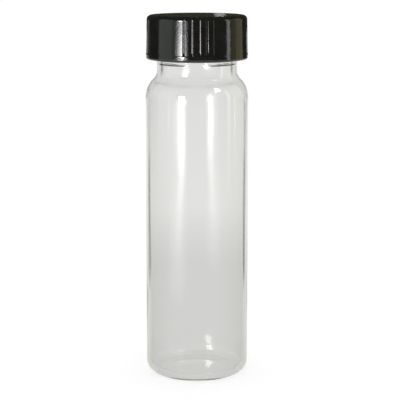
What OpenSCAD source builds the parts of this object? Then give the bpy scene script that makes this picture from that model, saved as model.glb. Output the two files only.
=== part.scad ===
// Glass sample vial with a ribbed screw cap and a sealing liner.
// Millimetres, +Z up, origin at the centre of the standing ring.

/* [Glass body] */
// Height of the glass, from the table to the lip
vial_h = 95; // [70:0.5:140]
// Outside diameter of the body
body_d = 27.75; // [25:0.25:34]
// Wall thickness of the body
wall_t = 0.9; // [0.6:0.05:1.6]
// Thickness of the floor
floor_t = 1.1; // [0.6:0.1:2]
// Outside radius of the heel, where the wall meets the base
heel_r = 3; // [1.5:0.1:4]
// Inside radius between the wall and the floor
inner_heel_r = 2.6; // [1:0.1:3.5]
// Diameter of the pushed-up centre of the base
punt_d = 15.6; // [8:0.2:17]
// Rise of the pushed-up centre above the table
punt_h = 0.8; // [0.3:0.1:2]

/* [Shoulder and neck] */
// Radius of the rounded shoulder
shoulder_r = 6.5; // [4:0.1:9]
// Radius of the hollow between the shoulder and the neck
neck_fillet_r = 3.4; // [2:0.1:5]
// Width of the shoulder, from the side of the body in to the side of the neck
shoulder_w = 3.025; // [2:0.025:4.5]
// Wall thickness of the neck
neck_wall_t = 1.5; // [1:0.1:2.5]
// Length of the straight neck, from the shoulder hollow to the lip
neck_len = 11.8; // [10.5:0.1:18]
// Rounding of both edges of the lip
lip_r = 0.5; // [0.2:0.05:0.7]

/* [Thread] */
// Rise of the thread in one turn
thread_pitch = 3.175; // [3:0.025:3.8]
// How far the neck thread stands out of the neck
thread_depth = 1; // [0.6:0.05:1.2]
// Turns of thread on the neck
neck_turns = 1.25; // [1:0.05:1.5]
// Width of a thread at its root
thread_root_w = 2.1; // [1.6:0.05:2.2]
// Width of a thread at its crest
thread_crest_w = 0.9; // [0.5:0.05:1]
// Plain neck between the lip and the top of the thread
thread_drop = 1.2; // [0.8:0.1:2]
// Free space between neck and cap, across the thread
thread_gap = 0.3; // [0.2:0.05:0.5]

/* [Cap] */
// Depth of the cap's skirt below the lip of the glass
skirt_h = 8.7; // [8:0.1:10]
// Thickness of the cap's top
cap_top_t = 1.8; // [1.2:0.1:3]
// Wall of the cap outside its thread, at the bottom of the skirt
cap_wall_t = 1.55; // [1.2:0.05:2.5]
// Draft of the skirt, which narrows towards the top
cap_draft = 1.5; // [0.5:0.1:2]
// Rounding of the cap's top edge
cap_edge_r = 1.2; // [0.5:0.1:1.6]
// Height of the plain band under the grip
band_h = 1.6; // [1:0.1:2.5]
// How far the band stands out of the skirt
band_step = 0.05; // [0.05:0.05:0.3]
// Groups of grip grooves round the skirt
groove_groups = 4; // [2:1:6]
// Grooves in each group
grooves_in_group = 5; // [3:1:6]
// Width of a groove and a land together, round the skirt
groove_pitch = 2.06; // [1.8:0.02:2.2]
// Radius of the round floor of a groove
groove_r = 0.6; // [0.4:0.05:0.8]
// Depth of a groove at the foot of the skirt
groove_depth = 0.12; // [0.08:0.01:0.2]
// Turn of the first group of grooves from the -Y side towards +X
groove_turn = 2.7; // [0:0.1:10]
// Rounding of the outside edge at the open end of the cap
rim_r = 0.5; // [0.2:0.05:0.8]
// Chamfer that leads the neck into the open end of the cap
mouth_chamfer = 0.4; // [0.2:0.05:0.6]

/* [Liner] */
// Thickness of the sealing liner
liner_t = 1.2; // [0.8:0.1:2]
// Free space round the liner inside the cap
liner_gap = 0.15; // [0.1:0.05:0.3]

/* [Hidden] */
$fn = 96;
// Largest turn between two points of an arc in an outline
arc_step = 7.5;
// Turn between two sections of a swept thread
thread_step = 7.5;
// Turn over which a thread grows out of the wall at each end
fade_angle = 45;
// Depth to which a thread is rooted in its wall
thread_sink = 0.4;
// The grooves lean a little less than the skirt, so they are shallower at the top
groove_lean = 0.95 * cap_draft;
// Length by which a cutter runs past the face it opens
cut_over = 1;

body_r = body_d / 2;
body_inner_r = body_r - wall_t;
neck_r = body_r - shoulder_w;
bore_r = neck_r - neck_wall_t;
neck_z = vial_h - neck_len;
punt_r = punt_d / 2;
punt_sphere_r = (punt_r * punt_r + punt_h * punt_h) / (2 * punt_h);
punt_centre_z = punt_h - punt_sphere_r;

cap_z = vial_h - skirt_h;
cap_ceiling_z = vial_h + liner_t;
cap_top_z = cap_ceiling_z + cap_top_t;
cap_root_r = neck_r + thread_depth + thread_gap;
cap_band_r = cap_root_r + cap_wall_t;
cap_skirt_r = cap_band_r - band_step;
cap_skirt_z = cap_z + band_h;
cap_edge_z = cap_top_z - cap_edge_r;
liner_r = cap_root_r - liner_gap;

// Width of a thread where its flanks meet its foot, inside the wall
thread_foot_w = thread_root_w + (thread_root_w - thread_crest_w) * thread_sink / thread_depth;

neck_thread_z = vial_h - thread_drop - thread_root_w / 2 - neck_turns * thread_pitch;
// The cap's thread fills the skirt from the mouth to just under the liner.
// It lies midway between two turns of the neck's, so its start is turned round to match its height.
cap_thread_z = cap_z + mouth_chamfer + thread_foot_w / 2;
cap_thread_turns = (vial_h - thread_gap - thread_foot_w / 2 - cap_thread_z) / thread_pitch;
cap_thread_start = 360 * (cap_thread_z - neck_thread_z + thread_pitch / 2) / thread_pitch;

// ---- Outlines -------------------------------------------------------------

// Points of an arc about [r, z], from angle start to angle end
function arc(r, z, radius, start, end) =
    let (n = max(4, ceil(abs(end - start) / arc_step)))
    [for (i = [0 : n])
        let (a = start + (end - start) * i / n)
        [r + radius * cos(a), z + radius * sin(a)]];

// S-shaped shoulder from outer_r up and in to inner_r, where it ends at top_z
function shoulder(outer_r, inner_r, convex_r, hollow_r, top_z) =
    let (both_r = convex_r + hollow_r,
         turn = acos(1 - (outer_r - inner_r) / both_r),
         start_z = top_z - both_r * sin(turn),
         convex = arc(outer_r - convex_r, start_z, convex_r, 0, turn),
         hollow = arc(inner_r + hollow_r, top_z, hollow_r, 180 + turn, 180))
    concat(convex, [for (i = [1 : len(hollow) - 1]) hollow[i]]);

function reversed(points) = [for (i = [len(points) - 1 : -1 : 0]) points[i]];

// Shallow dome over the pushed-up centre, from its rim to the axis
function dome(sphere_r, rim_r) =
    arc(0, punt_centre_z, sphere_r, acos(rim_r / sphere_r), 90);

function glass_outside() = concat(
    reversed(dome(punt_sphere_r, punt_r)),
    arc(body_r - heel_r, heel_r, heel_r, -90, 0),
    shoulder(body_r, neck_r, shoulder_r, neck_fillet_r, neck_z),
    arc(neck_r - lip_r, vial_h - lip_r, lip_r, 0, 90));

function glass_inside() = concat(
    reversed(dome(punt_sphere_r + floor_t, punt_r)),
    arc(body_inner_r - inner_heel_r, floor_t + inner_heel_r, inner_heel_r, -90, 0),
    shoulder(body_inner_r, bore_r, shoulder_r - wall_t, neck_fillet_r + neck_wall_t, neck_z),
    reversed(arc(bore_r + lip_r, vial_h - lip_r, lip_r, 90, 180)));

function cap_outside() = [
    [0, cap_top_z],
    for (p = reversed(arc(leaned(cap_skirt_r, cap_draft) - cap_edge_r, cap_edge_z, cap_edge_r, 0, 90))) p,
    [cap_skirt_r, cap_skirt_z],
    [cap_band_r, cap_skirt_z - band_step],
    for (p = reversed(arc(cap_band_r - rim_r, cap_z + rim_r, rim_r, -90, 0))) p
];

// Radius under the top edge of a face that starts at radius foot_r above the band and leans in
function leaned(foot_r, lean) = foot_r - (cap_edge_z - cap_skirt_z) * tan(lean);

function cap_inside() = [
    [cap_root_r + mouth_chamfer, cap_z],
    [cap_root_r, cap_z + mouth_chamfer],
    [cap_root_r, cap_ceiling_z],
    [0, cap_ceiling_z]
];

// ---- Thread ---------------------------------------------------------------

// Section of a thread at height z, in order round its four corners
function thread_section(foot_r, crest_r, z) = [
    [foot_r, z - thread_foot_w / 2],
    [crest_r, z - thread_crest_w / 2],
    [crest_r, z + thread_crest_w / 2],
    [foot_r, z + thread_foot_w / 2]
];

// A right-hand thread that climbs from height z on a wall of radius wall_r.
// depth is how far it stands out of the wall: above 0 outwards, below 0 inwards.
// At both ends it sinks back into the wall.
module thread(wall_r, depth, turns, z) {
    end = turns * 360;
    steps = ceil(end / thread_step);
    foot_r = wall_r - sign(depth) * thread_sink;
    hidden_r = wall_r - sign(depth) * thread_sink / 2;
    sections = [for (i = [0 : steps])
        let (a = end * i / steps,
             growth = min(1, a / fade_angle, (end - a) / fade_angle),
             crest_r = hidden_r + (wall_r + depth - hidden_r) * growth)
        [for (p = thread_section(foot_r, crest_r, z + thread_pitch * a / 360))
            [p[0] * cos(a), p[0] * sin(a), p[1]]]];
    sides = [for (i = [0 : steps - 1], j = [0 : 3])
        [i * 4 + j, i * 4 + (j + 1) % 4, i * 4 + (j + 1) % 4 + 4, i * 4 + j + 4]];
    faces = concat(sides, [[3, 2, 1, 0]], [[for (j = [0 : 3]) steps * 4 + j]]);
    polyhedron(
        points = [for (s = sections, p = s) p],
        faces = depth > 0 ? faces : [for (f = faces) reversed(f)],
        convexity = 6);
}

// ---- Pieces ---------------------------------------------------------------

module glass_vial() {
    color([0.86, 0.88, 0.88, 0.35]) {
        rotate_extrude()
            polygon(concat(glass_outside(), reversed(glass_inside())));
        thread(neck_r, thread_depth, neck_turns, neck_thread_z);
    }
}

// One grip groove with a round floor on the +X side, from the band up over the rounded top edge
module groove() {
    translate([cap_skirt_r + groove_r - groove_depth, 0, cap_skirt_z])
        rotate([0, -groove_lean, 0])
            cylinder(r = groove_r, h = cap_top_z + cut_over - cap_skirt_z);
}

module screw_cap() {
    step = 360 * groove_pitch / (2 * PI * cap_skirt_r);
    first = groove_turn - 90 - step * (grooves_in_group - 1) / 2;
    color([0.05, 0.05, 0.055]) {
        difference() {
            rotate_extrude()
                polygon(concat(cap_outside(), cap_inside()));
            for (g = [0 : groove_groups - 1], i = [0 : grooves_in_group - 1])
                rotate(first + 360 * g / groove_groups + step * i) groove();
        }
        rotate(cap_thread_start)
            thread(cap_root_r, -thread_depth, cap_thread_turns, cap_thread_z);
    }
}

module cap_liner() {
    color([0.9, 0.88, 0.82])
        translate([0, 0, vial_h])
            cylinder(r = liner_r, h = liner_t);
}

glass_vial();
screw_cap();
cap_liner();
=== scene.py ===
import math

import bpy
from bpy.props import FloatProperty, FloatVectorProperty, IntProperty, PointerProperty
from bpy.types import Operator, Panel, PropertyGroup
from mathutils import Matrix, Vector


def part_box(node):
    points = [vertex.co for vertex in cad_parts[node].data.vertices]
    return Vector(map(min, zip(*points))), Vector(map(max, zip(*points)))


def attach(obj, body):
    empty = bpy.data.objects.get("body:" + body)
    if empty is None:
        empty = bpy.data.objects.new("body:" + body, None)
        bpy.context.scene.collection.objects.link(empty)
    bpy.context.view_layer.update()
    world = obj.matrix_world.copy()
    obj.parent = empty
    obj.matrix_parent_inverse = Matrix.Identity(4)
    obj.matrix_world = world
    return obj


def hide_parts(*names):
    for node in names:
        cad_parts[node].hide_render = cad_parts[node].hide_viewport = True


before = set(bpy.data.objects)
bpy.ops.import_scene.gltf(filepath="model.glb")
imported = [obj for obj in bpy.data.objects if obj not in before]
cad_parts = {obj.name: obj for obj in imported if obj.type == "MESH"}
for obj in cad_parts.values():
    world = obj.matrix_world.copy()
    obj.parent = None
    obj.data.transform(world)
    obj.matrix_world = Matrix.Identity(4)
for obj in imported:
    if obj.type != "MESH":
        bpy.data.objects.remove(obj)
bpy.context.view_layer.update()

bl_info = {
    "name": "Glass Sample Vial",
    "version": (1, 0, 0),
    "blender": (4, 5, 0),
    "location": "3D View > Sidebar > Sample Vial",
    "description": "Builds a clear glass vial with a grooved screw cap, its liner and a studio",
    "category": "Add Mesh",
}

MM = 0.001
WHITE = (1, 1, 1)

GLASS_LOW, GLASS_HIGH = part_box("glass_vial")
CAP_LOW, CAP_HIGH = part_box("screw_cap")
LINER_LOW, LINER_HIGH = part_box("cap_liner")


def length(name, description, default):
    """A length property, in metres."""
    return FloatProperty(
        name=name, description=description, default=default, min=0, unit="LENGTH", precision=5
    )


def tint(name, description, default):
    """A colour property."""
    return FloatVectorProperty(
        name=name, description=description, default=default, size=3, min=0, max=1, subtype="COLOR"
    )


def turn(name, description, degrees):
    """An angle property, given in degrees."""
    return FloatProperty(
        name=name, description=description, default=math.radians(degrees), subtype="ANGLE"
    )


def fraction(name, description, default):
    """A property from 0 to 1, such as a brightness or a share of something."""
    return FloatProperty(name=name, description=description, default=default, min=0, max=1)


def number(name, description, default, **limits):
    """A plain number without a unit."""
    return FloatProperty(name=name, description=description, default=default, **limits)


def whole(name, description, default):
    """A whole number of like things."""
    return IntProperty(name=name, description=description, default=default, min=1)


# ---- Sizes and finishes ----------------------------------------------------


class VialThreadSizes(PropertyGroup):
    """The screw thread that the neck and the cap share"""

    pitch: length("Pitch", "Rise of the thread in one turn", 3.175 * MM)
    depth: length("Depth", "How far the thread stands out of its wall", 1 * MM)
    root_w: length("Root width", "Width of the thread at its root", 2.1 * MM)
    crest_w: length("Crest width", "Width of the thread at its crest", 0.9 * MM)
    neck_turns: number("Neck turns", "Turns of thread on the neck", 1.25)
    drop: length("Drop", "Plain neck between the lip and the top of the thread", 1.2 * MM)
    gap: length("Gap", "Free space between neck and cap, across the thread", 0.3 * MM)
    fade: turn("Fade", "Turn over which the thread grows out of its wall", 45)


class VialGlassSizes(PropertyGroup):
    """Sizes and finish of the blown glass"""

    height: length("Height", "Height of the glass, from the table to the lip", GLASS_HIGH.z)
    body_r: length("Body radius", "Outside radius of the body", GLASS_HIGH.x)
    wall_t: length("Wall", "Wall thickness of the body", 0.9 * MM)
    floor_t: length("Floor", "Thickness of the floor", 1.1 * MM)
    heel_r: length("Heel", "Outside radius between wall and base", 3 * MM)
    inner_heel_r: length("Inner heel", "Inside radius between wall and floor", 2.6 * MM)
    punt_r: length("Punt radius", "Radius of the pushed-up centre of the base", 7.8 * MM)
    punt_h: length("Punt height", "Rise of the pushed-up centre of the base", 0.8 * MM)
    punt_blend: length("Punt blend", "Softness of the edge round the pushed-up centre", 0.25 * MM)
    shoulder_w: length("Shoulder width", "From the body's side to the neck's side", 3.025 * MM)
    shoulder_r: length("Shoulder", "Radius of the rounded shoulder", 6.5 * MM)
    hollow_r: length("Hollow", "Radius of the hollow between shoulder and neck", 3.4 * MM)
    neck_wall_t: length("Neck wall", "Wall thickness of the neck", 1.5 * MM)
    neck_len: length("Neck length", "Straight neck, from the hollow to the lip", 11.8 * MM)
    lip_r: length("Lip", "Rounding of both edges of the lip", 0.5 * MM)
    # Painted shade: the next three settings darken the glass's base colour in a line where the view
    # grazes the inside of the wall, and towards the sides.
    painted_line_shade: fraction("Wall line", "Darkness of the line along the inside of the wall", 0.97)
    outer_painted_line: fraction("Outer line", "Share of the wall line that lies on the outside", 0.75)
    painted_side_shade: fraction("Side tone", "Darkening of the inside towards the sides", 0.2)
    choke: length("Choke", "Narrowing of the bore behind the cap's rim", 0.15 * MM)
    choke_drop: length("Choke drop", "From the lip down to the foot of the choke", 9.25 * MM)
    fold: number("Fold", "Depth of the folds under the choke, as a share of the choke", 1.5)
    lift: length("Lift", "Rise of the inside of the shoulder, for a more even wall", 0.3 * MM)
    ripple: length("Ripple", "Unevenness of the inside, left by the reworking", 0.03 * MM)
    color: tint("Glass", "Colour of light that has passed through one surface", (1.0, 0.997, 0.992))
    depth_color: tint("Depth colour", "Colour of the glass in its thickness", (0.66, 0.74, 0.5))
    depth_density: number("Depth density", "Depth colour's strength, for each metre", 14, min=0)


class VialCapSizes(PropertyGroup):
    """Sizes and finish of the moulded screw cap"""

    low_z: length("Rim height", "Height of the cap's open rim", CAP_LOW.z)
    top_z: length("Top height", "Height of the cap's top", CAP_HIGH.z)
    band_r: length("Band radius", "Outside radius of the plain band", CAP_HIGH.x)
    top_t: length("Top", "Thickness of the cap's top", 1.8 * MM)
    wall_t: length("Wall", "Wall outside the thread, at the rim", 1.55 * MM)
    draft: turn("Draft", "Lean of the skirt towards the top", 1.5)
    edge_r: length("Top edge", "Rounding of the cap's top edge", 1.2 * MM)
    band_h: length("Band", "Height of the plain band under the grip", 1.6 * MM)
    band_step: length("Band step", "How far the band stands out of the skirt", 0.05 * MM)
    groups: whole("Groups", "Groups of grip grooves round the skirt", 4)
    grooves: whole("Grooves", "Grooves in each group", 5)
    group_turn: turn("Group turn", "Turn of the first group's middle from the front", 2.7)
    groove_pitch: length("Groove pitch", "A groove and a land together, round the skirt", 2.06 * MM)
    groove_r: length("Groove radius", "Radius of the round floor of a groove", 0.6 * MM)
    groove_depth: length("Groove depth", "Depth of a groove at the foot of the skirt", 0.12 * MM)
    groove_lean: turn("Groove lean", "Lean of the grooves, just under the draft", 0.95 * 1.5)
    groove_blend: length("Groove edge", "Softness of the edge of a groove", 0.015 * MM)
    rim_r: length("Rim", "Rounding of the outside edge at the open end", 0.5 * MM)
    mouth: length("Mouth", "Chamfer that leads the neck into the cap", 0.4 * MM)
    color: tint("Phenolic", "Colour of the moulded phenolic", (0.0098, 0.0098, 0.0088))
    roughness: fraction("Roughness", "Roughness of the gloss", 0.05)


class VialLinerSizes(PropertyGroup):
    """Sizes and finish of the sealing liner"""

    low_z: length("Face height", "Height of the face that seals on the lip", LINER_LOW.z)
    top_z: length("Back height", "Height of the face against the cap", LINER_HIGH.z)
    radius: length("Radius", "Radius of the liner", LINER_HIGH.x)
    edge_r: length("Edge", "Rounding of the punched edge", 0.12 * MM)
    dent: length("Dent", "Depth of the ring pressed in by the lip", 0.06 * MM)
    color: tint("Foam", "Colour of the foamed liner", (0.86, 0.84, 0.78))


class VialStageSizes(PropertyGroup):
    """Camera, floor and lights"""

    camera_distance: length("Distance", "From the camera to the point that it looks at", 376.6 * MM)
    camera_aim_z: length("Aim", "Height of the point that the camera looks at", 47.8 * MM)
    camera_pitch: turn("Pitch", "How far the camera looks down", 10.4)
    camera_lens: number("Lens", "Focal length in millimetres, on a 36 mm sensor", 124.15)
    camera_shift: number("Shift", "Sideways shift of the frame", 0.0076)
    floor_r: length("Floor", "Radius of the floor", 8.0)
    bounces: whole("Bounces", "Times that light may turn inside the glass", 24)
    room_light: fraction("Room light", "Strength of the soft light all round", 0.9)
    backing: fraction("Backing", "Brightness of the room seen through glass", 0.765)
    # Painted shadow: the floor seen through glass is darker near the vial, in place of the vial's
    # own shadow.
    shaded_near_backing: fraction("Near backing", "Brightness of the near floor seen through glass", 0.64)
    gloss_color: tint("Gloss colour", "Colour of the room in reflections", (0.95, 1.0, 0.6))
    gloss_room: fraction("Room in gloss", "Brightness of the room in reflections", 0.035)


# ---- Outlines, as points of (radius, height) -------------------------------


def arc(r, z, radius, start, end, steps):
    """Points of an arc about (r, z), from angle start to angle end, in degrees."""
    angles = (math.radians(start + (end - start) * i / steps) for i in range(steps + 1))
    return [(r + radius * math.cos(a), z + radius * math.sin(a)) for a in angles]


def line(first, last, steps):
    """Points between two ends, with both ends left out."""
    wide, high = last[0] - first[0], last[1] - first[1]
    return [(first[0] + wide * i / steps, first[1] + high * i / steps) for i in range(1, steps)]


def shoulder(outer_r, inner_r, convex_r, hollow_r, top_z, steps):
    """S-shaped shoulder from outer_r up and in to inner_r, where it ends at top_z."""
    both_r = convex_r + hollow_r
    slope = math.acos(1 - (outer_r - inner_r) / both_r)
    start_z = top_z - both_r * math.sin(slope)
    lean = math.degrees(slope)
    convex = arc(outer_r - convex_r, start_z, convex_r, 0, lean, steps)
    hollow = arc(inner_r + hollow_r, top_z, hollow_r, 180 + lean, 180, steps)
    return convex + hollow[1:]


def soft_max(a, b, blend):
    """The larger of two heights, with the corner between them rounded over a height of blend."""
    overlap = max(blend - abs(a - b), 0) / blend
    return max(a, b) + overlap * overlap * blend / 4


def smooth(step):
    """Eased step from 0 to 1."""
    step = min(max(step, 0), 1)
    return step * step * (3 - 2 * step)


# ---- Meshes ----------------------------------------------------------------


def new_object(name, vertices, faces, material):
    """A smooth-shaded mesh object in the scene."""
    mesh = bpy.data.meshes.new(name)
    mesh.from_pydata(vertices, [], faces)
    mesh.polygons.foreach_set("use_smooth", [True] * len(faces))
    mesh.materials.append(material)
    mesh.update()
    made = bpy.data.objects.new(name, mesh)
    bpy.context.scene.collection.objects.link(made)
    return made


def lathe(name, rings, angles, material):
    """A closed turned skin through rings, from the axis to the axis.

    A ring is (radius, height, form): form is None, or a function of (angle, radius, height)
    that gives the radius at that angle. The first and the last ring are points on the axis.
    """
    count = len(angles)
    circle = [(a, math.cos(a), math.sin(a)) for a in angles]
    vertices = [(0, 0, rings[0][1])]
    for radius, height, form in rings[1:-1]:
        for angle, cosine, sine in circle:
            r = form(angle, radius, height) if form else radius
            vertices.append((r * cosine, r * sine, height))
    last = len(vertices)
    vertices.append((0, 0, rings[-1][1]))
    faces = [(0, 1 + (i + 1) % count, 1 + i) for i in range(count)]
    for ring in range(len(rings) - 3):
        low = 1 + ring * count
        for i in range(count):
            j = (i + 1) % count
            faces.append((low + i, low + j, low + count + j, low + count + i))
    low = last - count
    faces += [(low + i, low + (i + 1) % count, last) for i in range(count)]
    return new_object(name, vertices, faces, material)


def even_angles(count):
    """Equal steps round the whole circle."""
    return [math.tau * i / count for i in range(count)]


def neck_thread_z(glass, thread):
    """Height at which the neck's thread starts, on its middle line."""
    return glass.height - thread.drop - thread.root_w / 2 - thread.neck_turns * thread.pitch


def thread_ridge(thread, angle, height, start_z, start_angle, turns):
    """Height of the thread's ridge above its wall, as a share of its depth."""
    ridge = 0
    around = (angle - start_angle) % math.tau / math.tau
    flank = (thread.root_w - thread.crest_w) / 2
    for k in range(math.ceil(turns) + 1):
        along = around + k
        if along > turns:
            break
        off = abs(height - start_z - along * thread.pitch)
        profile = smooth((thread.root_w / 2 - off) / flank)
        growth = smooth(min(along, turns - along) * math.tau / thread.fade)
        ridge = max(ridge, profile * growth)
    return ridge


# ---- Materials -------------------------------------------------------------

PAINTED_SHADE_FACING = (0.1, 0.65)  # facing over which the painted side shade of the glass grows


def new_material(name):
    """A material with its nodes, and the shader that the finish is built on."""
    material = bpy.data.materials.new(name)
    material.use_nodes = True
    nodes = material.node_tree.nodes
    return material, nodes, material.node_tree.links, nodes["Principled BSDF"]


def noise(nodes, links, coords, scale, detail, stretch=(1, 1, 1)):
    """Noise in the object's own metres. stretch draws it out along an axis."""
    mapping = nodes.new("ShaderNodeMapping")
    mapping.inputs["Scale"].default_value = stretch
    links.new(coords, mapping.inputs["Vector"])
    texture = nodes.new("ShaderNodeTexNoise")
    texture.inputs["Scale"].default_value = scale
    texture.inputs["Detail"].default_value = detail
    links.new(mapping.outputs["Vector"], texture.inputs["Vector"])
    return texture.outputs["Fac"]


def remap(nodes, links, value, low, high, to_low, to_high):
    """Value stretched from one range to another, and held inside it."""
    node = nodes.new("ShaderNodeMapRange")
    node.inputs["From Min"].default_value = low
    node.inputs["From Max"].default_value = high
    node.inputs["To Min"].default_value = to_low
    node.inputs["To Max"].default_value = to_high
    links.new(value, node.inputs["Value"])
    return node.outputs["Result"]


def bump(nodes, links, height, distance, normal=None):
    """Relief of the given depth, in metres, on top of another relief."""
    node = nodes.new("ShaderNodeBump")
    node.inputs["Strength"].default_value = 1
    node.inputs["Distance"].default_value = distance
    links.new(height, node.inputs["Height"])
    if normal is not None:
        links.new(normal, node.inputs["Normal"])
    return node.outputs["Normal"]


def math_node(nodes, links, operation, *values):
    """One step of arithmetic on sockets or numbers."""
    node = nodes.new("ShaderNodeMath")
    node.operation = operation
    for socket, value in zip(node.inputs, values):
        if isinstance(value, bpy.types.NodeSocket):
            links.new(value, socket)
        else:
            socket.default_value = value
    return node.outputs["Value"]


def glass_finish(sizes):
    """Clear drawn glass: faint draw lines, a slow waviness and a trace of depth colour, with
    painted shade in its base colour: a dark line where the view grazes the inside of the wall, and
    darkening towards the sides.
    """
    material, nodes, links, shader = new_material("clear_drawn_glass")
    shader.inputs["Transmission Weight"].default_value = 1
    shader.inputs["IOR"].default_value = 1.5
    shader.inputs["Roughness"].default_value = 0
    noted = {}
    for name in ("painted_line_share", "painted_line_place", "painted_line_width", "painted_aslant_shade"):
        node = nodes.new("ShaderNodeAttribute")
        node.attribute_name = name
        noted[name] = node.outputs["Fac"]
    # Painted shade: by the facing, the base colour is mixed towards black in a line where the view
    # grazes the inside of the wall, and towards the sides.
    facing = nodes.new("ShaderNodeLayerWeight").outputs["Facing"]
    off = math_node(nodes, links, "SUBTRACT", facing, noted["painted_line_place"])
    off = math_node(nodes, links, "ABSOLUTE", off)
    off = math_node(nodes, links, "DIVIDE", off, noted["painted_line_width"])
    edge = remap(nodes, links, off, 1, 2, sizes.painted_line_shade, 0)
    edge = math_node(nodes, links, "MULTIPLY", edge, noted["painted_line_share"])
    painted_aslant_shade = remap(nodes, links, facing, *PAINTED_SHADE_FACING, 0, sizes.painted_side_shade)
    painted_aslant_shade = math_node(nodes, links, "MULTIPLY", painted_aslant_shade, noted["painted_aslant_shade"])
    edge = math_node(nodes, links, "ADD", edge, painted_aslant_shade)
    tone = nodes.new("ShaderNodeMix")
    tone.data_type = "RGBA"
    tone.inputs["A"].default_value = (*sizes.color, 1)
    tone.inputs["B"].default_value = (0, 0, 0, 1)
    links.new(edge, tone.inputs["Factor"])
    links.new(tone.outputs["Result"], shader.inputs["Base Color"])
    coords = nodes.new("ShaderNodeTexCoord").outputs["Object"]
    draw_lines = noise(nodes, links, coords, scale=900, detail=1, stretch=(1, 1, 0.02))
    waves = noise(nodes, links, coords, scale=110, detail=1, stretch=(1, 1, 0.35))
    relief = bump(nodes, links, draw_lines, 0.0015 * MM)
    relief = bump(nodes, links, waves, 0.02 * MM, relief)
    links.new(relief, shader.inputs["Normal"])
    depth = nodes.new("ShaderNodeVolumeAbsorption")
    depth.inputs["Color"].default_value = (*sizes.depth_color, 1)
    depth.inputs["Density"].default_value = sizes.depth_density
    links.new(depth.outputs["Volume"], nodes["Material Output"].inputs["Volume"])
    return material


def phenolic_finish(sizes):
    """Black moulded phenolic: high gloss over an orange-peel skin, with faint rubbing."""
    material, nodes, links, shader = new_material("black_moulded_phenolic")
    coords = nodes.new("ShaderNodeTexCoord").outputs["Object"]
    shader.inputs["IOR"].default_value = 1.6
    clouds = noise(nodes, links, coords, scale=350, detail=4)
    mix = nodes.new("ShaderNodeMix")
    mix.data_type = "RGBA"
    mix.inputs["A"].default_value = (*sizes.color, 1)
    mix.inputs["B"].default_value = (*(1.5 * c for c in sizes.color), 1)
    links.new(remap(nodes, links, clouds, 0.4, 0.7, 0, 1), mix.inputs["Factor"])
    links.new(mix.outputs["Result"], shader.inputs["Base Color"])
    rubbing = noise(nodes, links, coords, scale=1400, detail=3, stretch=(1, 1, 0.3))
    rough = remap(nodes, links, rubbing, 0.35, 0.75, sizes.roughness, sizes.roughness + 0.06)
    links.new(rough, shader.inputs["Roughness"])
    peel = noise(nodes, links, coords, scale=2200, detail=2)
    swell = noise(nodes, links, coords, scale=260, detail=1)
    relief = bump(nodes, links, swell, 0.012 * MM)
    relief = bump(nodes, links, peel, 0.016 * MM, relief)
    links.new(relief, shader.inputs["Normal"])
    return material


def liner_finish(sizes):
    """Foamed sealing disc: fine closed cells and a slightly uneven off-white."""
    material, nodes, links, shader = new_material("foamed_liner")
    coords = nodes.new("ShaderNodeTexCoord").outputs["Object"]
    clouds = noise(nodes, links, coords, scale=500, detail=3)
    mix = nodes.new("ShaderNodeMix")
    mix.data_type = "RGBA"
    mix.inputs["A"].default_value = (*(0.88 * c for c in sizes.color), 1)
    mix.inputs["B"].default_value = (*sizes.color, 1)
    links.new(remap(nodes, links, clouds, 0.35, 0.65, 0, 1), mix.inputs["Factor"])
    links.new(mix.outputs["Result"], shader.inputs["Base Color"])
    shader.inputs["Roughness"].default_value = 0.6
    cells = nodes.new("ShaderNodeTexVoronoi")
    cells.inputs["Scale"].default_value = 6000
    links.new(coords, cells.inputs["Vector"])
    links.new(bump(nodes, links, cells.outputs["Distance"], 0.02 * MM), shader.inputs["Normal"])
    return material


# ---- Glass -----------------------------------------------------------------

# The choke of the bore, in millimetres above its foot: it grows to its full depth, holds, and
# fades. Its folds lie just under the foot.
CHOKE_GROWN, CHOKE_HELD, CHOKE_FADED = 0.9, 1.5, 4.5
FOLD_UP, FOLD_SPREAD = -0.48, 0.23
GLASS_SIDES = 240
NECK_RING = 0.16 * MM  # rise from one ring of the neck to the next, at most


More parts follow.
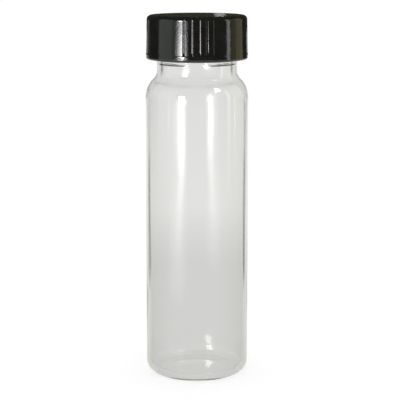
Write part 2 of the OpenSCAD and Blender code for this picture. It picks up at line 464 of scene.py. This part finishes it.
def glass_rings(g, thread):
    """Rings of the glass, from the centre of its underside round the lip to its floor."""
    neck_r = g.body_r - g.shoulder_w
    bore_r = neck_r - g.neck_wall_t
    inner_r = g.body_r - g.wall_t
    neck_z = g.height - g.neck_len
    dome_r = (g.punt_r**2 + g.punt_h**2) / (2 * g.punt_h)
    dome_z = g.punt_h - dome_r
    thread_z = neck_thread_z(g, thread)
    lip_z = g.height - g.lip_r

    def under(r, outer_r, rest_z):
        return soft_max(dome_z + math.sqrt(outer_r**2 - r**2), rest_z, g.punt_blend)

    # Slow waves that wind round the glass. The outside's never stand out of the full radius.
    def outside(angle, radius, height):
        return radius - 0.15 * g.ripple * (1 + math.sin(3 * angle + height * 90))

    def inside(angle, radius, height):
        wave = math.sin(2 * angle + 70 * height) + 0.6 * math.sin(5 * angle - 160 * height)
        return radius + g.ripple * wave * 0.5

    def bore(angle, radius, height):
        up = (height - g.height + g.choke_drop) / MM
        faded = smooth((up - CHOKE_HELD) / (CHOKE_FADED - CHOKE_HELD))
        narrowing = smooth(up / CHOKE_GROWN) * (1 - faded)
        fold = math.sin(2 * angle) ** 2 * math.exp(-((up - FOLD_UP) / FOLD_SPREAD) ** 2)
        return inside(angle, radius, height) - g.choke * (narrowing + g.fold * fold)

    def neck(angle, radius, height):
        ridge = thread_ridge(thread, angle, height, thread_z, 0, thread.neck_turns)
        return radius + thread.depth * ridge

    base_steps, arc_steps, wall_steps, lip_steps = 24, 14, 40, 6
    heel_in_r = g.body_r - g.heel_r
    floor_in_r = inner_r - g.inner_heel_r
    rings = [(0, under(0, dome_r, 0), None)]
    rings += [
        (r, under(r, dome_r, 0), None)
        for r in (heel_in_r * i / base_steps for i in range(1, base_steps))
    ]
    heel = arc(heel_in_r, g.heel_r, g.heel_r, -90, 0, arc_steps)
    slope = shoulder(g.body_r, neck_r, g.shoulder_r, g.hollow_r, neck_z, arc_steps)
    rings += [(r, z, outside) for r, z in heel + line(heel[-1], slope[0], wall_steps) + slope]
    neck_steps = math.ceil((lip_z - neck_z) / NECK_RING)
    rings += [(r, z, neck) for r, z in line(slope[-1], (neck_r, lip_z), neck_steps)]
    lip = arc(neck_r - g.lip_r, lip_z, g.lip_r, 0, 90, lip_steps)
    lip += arc(bore_r + g.lip_r, lip_z, g.lip_r, 90, 180, lip_steps)
    rings += [(r, z, None) for r, z in lip]
    outer_count = len(rings) - lip_steps
    rounds = (g.shoulder_r - g.wall_t, g.hollow_r + g.neck_wall_t)
    back = shoulder(inner_r, bore_r, *rounds, neck_z + g.lift, arc_steps)
    back.reverse()
    inner_heel = arc(floor_in_r, g.floor_t + g.inner_heel_r, g.inner_heel_r, 0, -90, arc_steps)
    inner_wall = back + line(back[-1], inner_heel[0], wall_steps) + inner_heel
    choke_z = g.height - g.choke_drop
    # The rings lie close together about the choke and its folds
    start = (bore_r, lip_z)
    over_choke, under_choke = (bore_r, choke_z + 1.4 * MM), (bore_r, choke_z - 1 * MM)
    for end, steps in ((over_choke, 8), (under_choke, 36), (back[0], 4)):
        rings += [(r, z, bore) for r, z in line(start, end, steps) + [end]]
        start = end
    rings += [(r, z, inside) for r, z in inner_wall[1:]]
    floor_dome_r = dome_r + g.floor_t
    rings += [
        (r, under(r, floor_dome_r, g.floor_t), None)
        for r in (floor_in_r * i / base_steps for i in range(base_steps - 1, 0, -1))
    ]
    rings.append((0, under(0, floor_dome_r, g.floor_t), None))
    return rings, outer_count


# Strength of the painted shade line along the wall, as rows of (share of the vial's height,
# strength)
PAINTED_LINE_UPWARDS = (
    (0, 0), (0.24, 0), (0.31, 1), (0.6, 0.95), (0.67, 0.5), (0.78, 0.45), (0.8, 0.1), (0.86, 0.1),
    (0.88, 1), (1, 1),
)
# How far the facing may be off the painted shade line's place before the line starts to fade
INNER_LINE_WIDTH, OUTER_LINE_WIDTH = 0.14, 0.03
PAINTED_LINE_SHIFT = 0.014  # shift of the outer painted shade line's place across the vial


def painted_line_strength(up):
    """Strength of the painted shade line along the wall at a share of the vial's height."""
    strength = 0
    for (low, start), (high, end) in zip(PAINTED_LINE_UPWARDS, PAINTED_LINE_UPWARDS[1:]):
        if low <= up <= high:
            strength = start + (end - start) * (up - low) / (high - low)
    return strength


def painted_line_facing(outer_r, wall_t, further_out):
    """Facing at which the view of the outside grazes the inside of the wall, or a little more: the
    place of the painted shade line.
    """
    return 1 + further_out - math.sqrt(1 - ((outer_r - wall_t) / outer_r) ** 2)


def inner_painted_shade(up):
    """Painted side shade of the inside: less in the upper half, and faint on the shoulder."""
    on_shoulder = smooth((up - 0.79) / 0.03) * (1 - smooth((up - 0.87) / 0.03))
    return (1 - 0.35 * smooth(2 * up - 0.6)) * (1 - 0.85 * on_shoulder)


def outer_painted_shade(height):
    """Painted side shade of the outside, only round the heel. The height is in millimetres."""
    return 1.2 - 0.8 * smooth((height - 3) / 3) - 0.4 * smooth((height - 8) / 4)


def mark_painted_shade(mesh, outer_count, g):
    """Note on the mesh where the glass's base colour gets painted shade: a dark line along its
    wall, and darkening aslant towards the sides.

    The first outer_count vertices are its outside. The painted line lies where the view grazes the
    inside of the wall, so its place is a facing of 1 on the inside and a lower one on the
    outside. That place is shifted a little across the vial, as it would be where a wall is uneven.
    """
    neck_r = g.body_r - g.shoulder_w
    in_body = painted_line_facing(g.body_r, g.wall_t, 0.025)
    in_neck = painted_line_facing(neck_r, g.neck_wall_t, 0.02)
    values = {"painted_line_share": [], "painted_line_place": [], "painted_line_width": [], "painted_aslant_shade": []}
    for vertex in mesh.vertices:
        up = vertex.co.z / g.height
        if vertex.index >= outer_count:
            row = (painted_line_strength(up), 1, INNER_LINE_WIDTH, inner_painted_shade(up))
        else:
            place = in_body + (in_neck - in_body) * smooth((up - 0.8) / 0.07)
            place -= PAINTED_LINE_SHIFT * (0.6 + vertex.co.x / g.body_r)
            tone = outer_painted_shade(vertex.co.z / MM)
            row = (painted_line_strength(up) * g.outer_painted_line, place, OUTER_LINE_WIDTH, tone)
        for numbers, value in zip(values.values(), row):
            numbers.append(value)
    for name, numbers in values.items():
        mesh.attributes.new(name, "FLOAT", "POINT").data.foreach_set("value", numbers)


class VIAL_OT_glass(Operator):
    """Make the blown glass with its rounded shoulder, threaded neck and pushed-up base"""

    bl_idname = "vial.glass"
    bl_label = "Glass"

    def execute(self, context):
        sizes = context.scene.vial_glass
        rings, outer_count = glass_rings(sizes, context.scene.vial_thread)
        angles = even_angles(GLASS_SIDES)
        glass = lathe("blown_glass", rings, angles, glass_finish(sizes))
        # Note where the glass's base colour is painted with shade
        mark_painted_shade(glass.data, 1 + (outer_count - 1) * len(angles), sizes)
        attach(glass, "vial")
        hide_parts("glass_vial")
        return {"FINISHED"}


# ---- Cap -------------------------------------------------------------------

THREAD_SUNK = 0.4 * MM  # how deep the foot of the cap's thread lies in its wall
GROOVE_STEPS = (0, 0.22, 0.44, 0.64, 0.8, 0.92, 1.04, 1.2)  # as shares of half a groove
PANEL_STEP = math.radians(2.5)
CAP_RING = 0.18 * MM  # rise from one ring of the inside to the next, at most


def groove_angles(cap):
    """Middle angle of each grip groove."""
    step = cap.groove_pitch / (cap.band_r - cap.band_step)
    first = cap.group_turn - math.pi / 2 - step * (cap.grooves - 1) / 2
    return [
        first + math.tau * group / cap.groups + step * i
        for group in range(cap.groups)
        for i in range(cap.grooves)
    ]


def cap_angles(cap):
    """Angles round the cap: close together in the grooves, wide apart on the plain panels."""
    radius = cap.band_r - cap.band_step
    half = math.sqrt(cap.groove_r**2 - (cap.groove_r - cap.groove_depth) ** 2) / radius
    offsets = [-half * step for step in reversed(GROOVE_STEPS[1:])]
    offsets += [half * step for step in GROOVE_STEPS]
    middles = groove_angles(cap)
    angles = []
    for here, after in zip(middles, middles[1:] + [middles[0] + math.tau]):
        angles += [here + offset for offset in offsets]
        start, end = here + offsets[-1], after + offsets[0]
        steps = max(2, math.ceil((end - start) / PANEL_STEP))
        angles += [start + (end - start) * i / steps for i in range(1, steps)]
    return angles


def cap_rings(cap, thread, glass):
    """Rings of the cap, from the middle of its top round the rim to the middle of its ceiling."""
    skirt_r = cap.band_r - cap.band_step
    band_z = cap.low_z + cap.band_h
    edge_z = cap.top_z - cap.edge_r
    top_r = skirt_r - (edge_z - band_z) * math.tan(cap.draft) - cap.edge_r
    root_r = cap.band_r - cap.wall_t
    ceiling_z = cap.top_z - cap.top_t
    middles = groove_angles(cap)
    foot_w = thread.root_w + (thread.root_w - thread.crest_w) * THREAD_SUNK / thread.depth
    start_z = cap.low_z + cap.mouth + foot_w / 2
    turns = (glass.height - thread.gap - foot_w / 2 - start_z) / thread.pitch
    above_neck_thread = start_z - neck_thread_z(glass, thread) + thread.pitch / 2
    start_angle = math.tau * above_neck_thread / thread.pitch

    def grooved(angle, radius, height):
        across = skirt_r * min(abs((angle - m + math.pi) % math.tau - math.pi) for m in middles)
        if across >= cap.groove_r:
            return radius
        leaned_in = (height - band_z) * math.tan(cap.groove_lean)
        middle_r = skirt_r + cap.groove_r - cap.groove_depth - leaned_in
        floor_r = middle_r - math.sqrt(cap.groove_r**2 - across**2)
        return radius - soft_max(radius - floor_r, 0, cap.groove_blend)

    def threaded(angle, radius, height):
        ridge = thread_ridge(thread, angle, height, start_z, start_angle, turns)
        return radius - thread.depth * ridge

    top_steps, edge_steps, skirt_steps, ceiling_steps = 8, 22, 8, 4
    rings = [(0, cap.top_z, None)]
    rings += [(top_r * i / top_steps, cap.top_z, None) for i in range(1, top_steps)]
    edge = arc(top_r, edge_z, cap.edge_r, 90, 0, edge_steps)
    foot = (skirt_r, band_z + 0.02 * MM)
    rings += [(r, z, grooved) for r, z in edge + line(edge[-1], foot, skirt_steps) + [foot]]
    rings += [(skirt_r, band_z, None), (cap.band_r, band_z - cap.band_step, None)]
    rim = arc(cap.band_r - cap.rim_r, cap.low_z + cap.rim_r, cap.rim_r, 0, -90, 7)
    band = line((cap.band_r, band_z - cap.band_step), rim[0], 3)
    rings += [(r, z, None) for r, z in band + rim]
    rings += [(root_r + cap.mouth, cap.low_z, None), (root_r, cap.low_z + cap.mouth, None)]
    wall_steps = math.ceil((glass.height - cap.low_z) / CAP_RING)
    wall = line((root_r, cap.low_z + cap.mouth), (root_r, glass.height), wall_steps)
    rings += [(r, z, threaded) for r, z in wall]
    rings += [(root_r, glass.height, None), (root_r, ceiling_z, None)]
    inwards = range(ceiling_steps - 1, 0, -1)
    rings += [(root_r * i / ceiling_steps, ceiling_z, None) for i in inwards]
    rings.append((0, ceiling_z, None))
    return rings


class VIAL_OT_cap(Operator):
    """Make the grooved screw cap with its rounded top edge, plain band and inside thread"""

    bl_idname = "vial.cap"
    bl_label = "Screw Cap"

    def execute(self, context):
        scene = context.scene
        sizes = scene.vial_cap
        rings = cap_rings(sizes, scene.vial_thread, scene.vial_glass)
        cap = lathe("moulded_cap", rings, cap_angles(sizes), phenolic_finish(sizes))
        cap.data.flip_normals()
        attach(cap, "cap")
        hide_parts("screw_cap")
        return {"FINISHED"}


# ---- Liner -----------------------------------------------------------------

LINER_SIDES = 160


def liner_rings(liner, glass):
    """Rings of the liner, from the middle of its sealing face to the middle of its back."""
    lip_outer = glass.body_r - glass.shoulder_w
    lip_middle = lip_outer - glass.neck_wall_t / 2
    lip_half = glass.neck_wall_t / 2

    def face(r):
        pressed = 1 - abs(r - lip_middle) / lip_half
        return liner.low_z + liner.dent * smooth(pressed * 2)

    face_steps, back_steps = 60, 4
    flat_r = liner.radius - liner.edge_r
    rings = [(0, liner.low_z, None)]
    rings += [(r, face(r), None) for r in (flat_r * i / face_steps for i in range(1, face_steps))]
    edge = arc(flat_r, liner.low_z + liner.edge_r, liner.edge_r, -90, 0, 4)
    edge += arc(flat_r, liner.top_z - liner.edge_r, liner.edge_r, 0, 90, 4)
    rings += [(r, z, None) for r, z in edge]
    inwards = range(back_steps - 1, 0, -1)
    rings += [(flat_r * i / back_steps, liner.top_z, None) for i in inwards]
    rings.append((0, liner.top_z, None))
    return rings


class VIAL_OT_liner(Operator):
    """Make the foamed sealing liner with the ring that the lip presses into it"""

    bl_idname = "vial.liner"
    bl_label = "Liner"

    def execute(self, context):
        sizes = context.scene.vial_liner
        rings = liner_rings(sizes, context.scene.vial_glass)
        liner = lathe("foam_liner", rings, even_angles(LINER_SIDES), liner_finish(sizes))
        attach(liner, "liner")
        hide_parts("cap_liner")
        return {"FINISHED"}


# ---- Stage -----------------------------------------------------------------

FLOOR_SIDES = 96
FLOOR_SHADE, FLOOR_GLOW = 0.25, 0.8  # to the camera: its share that shadows darken, and the rest
FLOOR_PAPER = 0.8  # to the light that it throws back on the vial
FLOOR_IN_GLOSS = (0.8, 0.02)  # brightness in reflections, near the vial and far off
# Distances from the vial, in metres, between which the floor's glow changes: seen through glass it
# carries a painted shadow near the vial, and in reflections it is bright near the vial and dark far
# off
PAINTED_SHADOW_IN_GLASS = (0.135, 0.24)
TONE_IN_GLOSS = (0.3, 0.8)


def place_camera(stage):
    """A long lens, a little higher than the cap and looking a little down."""
    data = bpy.data.cameras.new("camera")
    data.sensor_width = 36
    data.lens = stage.camera_lens
    data.shift_x = stage.camera_shift
    data.clip_end = 50
    camera = bpy.data.objects.new("camera", data)
    back = math.cos(stage.camera_pitch) * stage.camera_distance
    rise = math.sin(stage.camera_pitch) * stage.camera_distance
    camera.location = (0, -back, stage.camera_aim_z + rise)
    camera.rotation_euler = (math.pi / 2 - stage.camera_pitch, 0, 0)
    bpy.context.scene.collection.objects.link(camera)
    bpy.context.scene.camera = camera


def glow(nodes, links, strength, color=WHITE):
    """Light given off by a surface. The strength is a number or a socket."""
    node = nodes.new("ShaderNodeEmission")
    node.inputs["Color"].default_value = (*color, 1)
    if isinstance(strength, bpy.types.NodeSocket):
        links.new(strength, node.inputs["Strength"])
    else:
        node.inputs["Strength"].default_value = strength
    return node.outputs["Emission"]


def switch(nodes, links, test, no, yes):
    """One shader or another, by a test of the kind of ray."""
    node = nodes.new("ShaderNodeMixShader")
    links.new(test, node.inputs["Fac"])
    links.new(no, node.inputs[1])
    links.new(yes, node.inputs[2])
    return node.outputs["Shader"]


def floor_finish(stage):
    """Pale floor: white to the camera apart from shadows, greyer behind glass and darker still near
    the vial as a painted shadow, and in the gloss bright near the vial and dark far off."""
    material, nodes, links, shader = new_material("pale_floor")
    nodes.remove(shader)
    paths = nodes.new("ShaderNodeLightPath").outputs
    distance = nodes.new("ShaderNodeVectorMath")
    distance.operation = "LENGTH"
    links.new(nodes.new("ShaderNodeTexCoord").outputs["Object"], distance.inputs[0])
    distance = distance.outputs["Value"]
    seen = nodes.new("ShaderNodeBsdfDiffuse")
    seen.inputs["Color"].default_value = (FLOOR_SHADE, FLOOR_SHADE, FLOOR_SHADE, 1)
    shown = nodes.new("ShaderNodeAddShader")
    links.new(seen.outputs["BSDF"], shown.inputs[0])
    links.new(glow(nodes, links, FLOOR_GLOW), shown.inputs[1])
    paper = nodes.new("ShaderNodeBsdfDiffuse")
    paper.inputs["Color"].default_value = (FLOOR_PAPER, FLOOR_PAPER, FLOOR_PAPER, 1)
    gloss_level = remap(nodes, links, distance, *TONE_IN_GLOSS, *FLOOR_IN_GLOSS)
    in_gloss = glow(nodes, links, gloss_level, (0.95, 1, 0.85))
    # Painted shadow: seen through glass, the floor's glow is lower near the vial than further off.
    glass_level = remap(nodes, links, distance, *PAINTED_SHADOW_IN_GLASS, stage.shaded_near_backing, stage.backing)
    in_glass = glow(nodes, links, glass_level)
    result = switch(nodes, links, paths["Is Glossy Ray"], paper.outputs["BSDF"], in_gloss)
    result = switch(nodes, links, paths["Is Transmission Ray"], result, in_glass)
    result = switch(nodes, links, paths["Is Camera Ray"], result, shown.outputs["Shader"])
    links.new(result, nodes["Material Output"].inputs["Surface"])
    return material


def lay_floor(stage):
    """A round floor just under the standing ring."""
    angles = even_angles(FLOOR_SIDES)
    rim = [(stage.floor_r * math.cos(a), stage.floor_r * math.sin(a), 0) for a in angles]
    floor = new_object("floor", rim, [tuple(range(len(rim)))], floor_finish(stage))
    floor.location.z = -0.02 * MM


def card_finish(name, color):
    """Clear sheet that gives off light, as strongly as its mesh notes."""
    material, nodes, links, shader = new_material(name)
    nodes.remove(shader)
    level = nodes.new("ShaderNodeAttribute")
    level.attribute_name = "level"
    both = nodes.new("ShaderNodeAddShader")
    links.new(nodes.new("ShaderNodeBsdfTransparent").outputs["BSDF"], both.inputs[0])
    links.new(glow(nodes, links, level.outputs["Fac"], color), both.inputs[1])
    links.new(both.outputs["Shader"], nodes["Material Output"].inputs["Surface"])
    return material


def stand_card(name, across, upwards, through_glass=False, color=WHITE, in_gloss=True):
    """An upright curved light card, brighter in some places than in others.

    across is a row of (degrees to the right of the camera's side, share of the brightness), and
    upwards a row of (distance from the vial's axis, height, brightness, extra degrees), with
    lengths in millimetres.
    """
    vertices = []
    levels = []
    for radius, height, brightness, *extra in upwards:
        for degrees, part in across:
            a = math.radians(degrees + sum(extra))
            vertices.append((radius * MM * math.sin(a), -radius * MM * math.cos(a), height * MM))
            levels.append(brightness * part)
    row = len(across)
    faces = [
        (k * row + i, k * row + i + 1, k * row + row + i + 1, k * row + row + i)
        for k in range(len(upwards) - 1)
        for i in range(row - 1)
    ]
    card = new_object(name, vertices, faces, card_finish(name, color))
    card.data.attributes.new("level", "FLOAT", "POINT").data.foreach_set("value", levels)
    card.visible_camera = False
    card.visible_diffuse = False
    card.visible_shadow = False
    card.visible_transmission = through_glass
    card.visible_glossy = in_gloss


def spread(start, end, step, soft):
    """A row of full brightness from start to end, in degrees, that fades over a soft margin."""
    count = max(1, math.ceil((end - start) / step))
    middle = [(start + (end - start) * i / count, 1) for i in range(count + 1)]
    return [(start - soft, 0), *middle, (end + soft, 0)]


# Rows of the light cards, as stand_card takes them
LEFT_LIGHT_ACROSS = (
    (-49, 0), (-47, 0.08), (-45, 0.12), (-42.5, 0.22), (-40.3, 0.4), (-38, 0.55), (-35.8, 0.68),
    (-34, 1), (-30, 1), (-28, 0.6), (-26.4, 0.39), (-24, 0.18), (-22, 0.08), (-19.7, 0.01),
    (-18.5, 0),
)
LEFT_LIGHT_UPWARDS = ((250, 68.2, 26), (250, 83, 24), (250, 94, 12), (250, 112, 6))
LOW_LIGHT_ACROSS = (
    (-57, 0), (-53, 0.11), (-48.3, 0.15), (-45.5, 0.26), (-43, 0.45), (-40.5, 0.75), (-38, 1),
    (-31, 1), (-28.5, 0.6), (-25, 0.22), (-22, 0.04), (-20, 0),
)
LOW_LIGHT_UPWARDS = (
    (145, 0.3, 0, -7), (170, 0.4, 0.35, -7), (200, 0.5, 0.65, -6), (233, 0.8, 1.05, -4.5),
    (250, 1, 1.2, -4), (250, 6, 1.6, -3), (250, 17, 2.6), (250, 27, 5), (250, 35, 6), (250, 52, 6),
    (250, 56, 6, 2.5), (250, 60, 7, 4.5), (250, 62.8, 7, 4.5), (250, 64, 1.6, 4.5),
    (250, 68.2, 1.6, 4.5),
)
CORE_LIGHT_ACROSS = ((-39.5, 0), (-37.5, 1), (-32.5, 1), (-30.5, 0))
CORE_LIGHT_UPWARDS = (
    (250, 24, 0), (250, 32, 8), (250, 52, 8), (250, 56, 8, 2.5), (250, 60, 8, 4.5),
    (250, 63, 8, 4.5),
)
TOP_LIGHT_ACROSS = ((-42, 0), (-40, 1), (-28, 1), (-26, 0))
TOP_LIGHT_UPWARDS = ((250, 112, 38), (250, 160, 38))
SOFT_LIGHT_ACROSS = ((-68, 0), (-58, 0.6), (-50, 0.9), (-43, 1), (-36, 1), (-28, 0.55), (-20, 0))
SOFT_LIGHT_UPWARDS = (
    (90, 0.4, 0), (125, 0.5, 0.6), (200, 0.6, 0.65), (250, 1.5, 0.5), (250, 12, 0.25), (250, 25, 0),
)
HIGH_LIGHT_ACROSS = ((33, 0), (36, 1), (58, 1), (60, 0))
HIGH_LIGHT_UPWARDS = (
    (205, 304, 14, 20), (170, 328, 18, 31), (110, 362, 18, 50), (75, 374, 18, 60),
)


def rising(radius, level, top=250):
    """Rows of a card that is dark at its foot and even from 60 mm up to its top."""
    return [(radius, 0.3, 0), (radius, 60, level), (radius, top, level)]


def stand_left_lights():
    """The main light on the left, in parts that the glass shows as a streak and its spots."""
    for name, across, upwards in (
        ("left_card", LEFT_LIGHT_ACROSS, LEFT_LIGHT_UPWARDS),
        ("left_low_card", LOW_LIGHT_ACROSS, LOW_LIGHT_UPWARDS),
        ("left_core_card", CORE_LIGHT_ACROSS, CORE_LIGHT_UPWARDS),
        ("left_top_card", TOP_LIGHT_ACROSS, TOP_LIGHT_UPWARDS),
        ("left_soft_card", SOFT_LIGHT_ACROSS, SOFT_LIGHT_UPWARDS),
    ):
        stand_card(name, across, upwards, through_glass=True)


def stand_dim_cards():
    """Dim cards that draw the gloss of the cap, and the spot on the right of the shoulder."""
    left_dim = spread(-92, -58, 6, 3)[:-1] + [(-55, 0.6), (-49, 0.55), (-46, 0)]
    glint = [(250, 108, 1.7), (250, 110.6, 1.7)]
    for name, across, upwards, color in (
        ("left_dim_card", left_dim, rising(260, 0.65), (0.92, 1, 0.93)),
        ("left_side_card", spread(-150, -136, 6, 2), rising(260, 0.35, 92), WHITE),
        ("back_card", spread(152, 208, 6, 1), rising(260, 1, 80), WHITE),
        ("back_glint_card", spread(177.2, 178.1, 1, 0.2), glint, WHITE),
        ("right_line_card", spread(70, 78, 3, 1), rising(260, 2), WHITE),
        ("right_olive_card", spread(83, 97, 4, 4), rising(260, 0.3), (1, 1, 0.55)),
        ("right_brown_card", spread(99, 121, 4, 3), rising(262, 0.6), (1, 0.82, 0.5)),
    ):
        stand_card(name, across, upwards, color=color)
    high = (HIGH_LIGHT_ACROSS, HIGH_LIGHT_UPWARDS)
    stand_card("right_high_card", *high, through_glass=True, in_gloss=False)


def light_room(stage):
    """Soft light all round: white to the camera, greyer behind glass, dim in the gloss."""
    world = bpy.data.worlds.new("studio")
    bpy.context.scene.world = world
    world.use_nodes = True
    nodes, links = world.node_tree.nodes, world.node_tree.links
    background = nodes["Background"]
    paths = nodes.new("ShaderNodeLightPath")
    room_tone = nodes.new("ShaderNodeMix")
    room_tone.data_type = "RGBA"
    room_tone.inputs["A"].default_value = (*WHITE, 1)
    room_tone.inputs["B"].default_value = (*stage.gloss_color, 1)
    glossy, through = paths.outputs["Is Glossy Ray"], paths.outputs["Is Transmission Ray"]
    mirrored = math_node(nodes, links, "SUBTRACT", glossy, through)
    links.new(math_node(nodes, links, "MAXIMUM", mirrored, 0.0), room_tone.inputs["Factor"])
    links.new(room_tone.outputs["Result"], background.inputs["Color"])
    dimming = math_node(nodes, links, "MULTIPLY", glossy, stage.gloss_room - stage.room_light)
    level = math_node(nodes, links, "ADD", dimming, stage.room_light)
    for full, test in ((stage.backing, through), (1.0, paths.outputs["Is Camera Ray"])):
        rest = math_node(nodes, links, "SUBTRACT", full, level)
        rest = math_node(nodes, links, "MULTIPLY", rest, test)
        level = math_node(nodes, links, "ADD", level, rest)
    links.new(level, background.inputs["Strength"])


class VIAL_OT_stage(Operator):
    """Set up the camera, the pale floor, the soft room light and the upright light cards"""

    bl_idname = "vial.stage"
    bl_label = "Stage"

    def execute(self, context):
        stage = context.scene.vial_stage
        place_camera(stage)
        lay_floor(stage)
        light_room(stage)
        stand_left_lights()
        stand_dim_cards()
        context.scene.view_settings.view_transform = "Standard"
        context.scene.cycles.max_bounces = stage.bounces
        context.scene.cycles.glossy_bounces = stage.bounces
        context.scene.cycles.transmission_bounces = stage.bounces
        return {"FINISHED"}


# ---- Panel and registration ------------------------------------------------


class VIAL_PT_sidebar(Panel):
    """Sizes and finishes of the vial, with a button for each piece"""

    bl_label = "Sample Vial"
    bl_idname = "VIAL_PT_sidebar"
    bl_space_type = "VIEW_3D"
    bl_region_type = "UI"
    bl_category = "Sample Vial"

    def draw(self, context):
        for label, operators, group_name in PANEL_ROWS:
            box = self.layout.box()
            box.label(text=label)
            group = getattr(context.scene, group_name)
            for key in group.bl_rna.properties.keys():
                if key not in {"rna_type", "name"}:
                    box.prop(group, key)
            for operator in operators:
                box.operator(operator)


PANEL_ROWS = (
    ("Thread", (), "vial_thread"),
    ("Glass", ("vial.glass",), "vial_glass"),
    ("Cap", ("vial.cap",), "vial_cap"),
    ("Liner", ("vial.liner",), "vial_liner"),
    ("Stage", ("vial.stage",), "vial_stage"),
)

SETTINGS = {
    "vial_thread": VialThreadSizes,
    "vial_glass": VialGlassSizes,
    "vial_cap": VialCapSizes,
    "vial_liner": VialLinerSizes,
    "vial_stage": VialStageSizes,
}

OPERATORS = (VIAL_OT_glass, VIAL_OT_cap, VIAL_OT_liner, VIAL_OT_stage)
CLASSES = (*SETTINGS.values(), *OPERATORS, VIAL_PT_sidebar)


def register():
    """Register the classes and hang the settings on the scene."""
    for cls in CLASSES:
        bpy.utils.register_class(cls)
    for name, cls in SETTINGS.items():
        setattr(bpy.types.Scene, name, PointerProperty(type=cls))


def unregister():
    """Take the settings and the classes away again."""
    for name in SETTINGS:
        delattr(bpy.types.Scene, name)
    for cls in reversed(CLASSES):
        bpy.utils.unregister_class(cls)


def main():
    """Build the whole vial and its stage."""
    register()
    bpy.ops.vial.stage()
    bpy.ops.vial.glass()
    bpy.ops.vial.cap()
    bpy.ops.vial.liner()


if __name__ == "__main__":
    main()
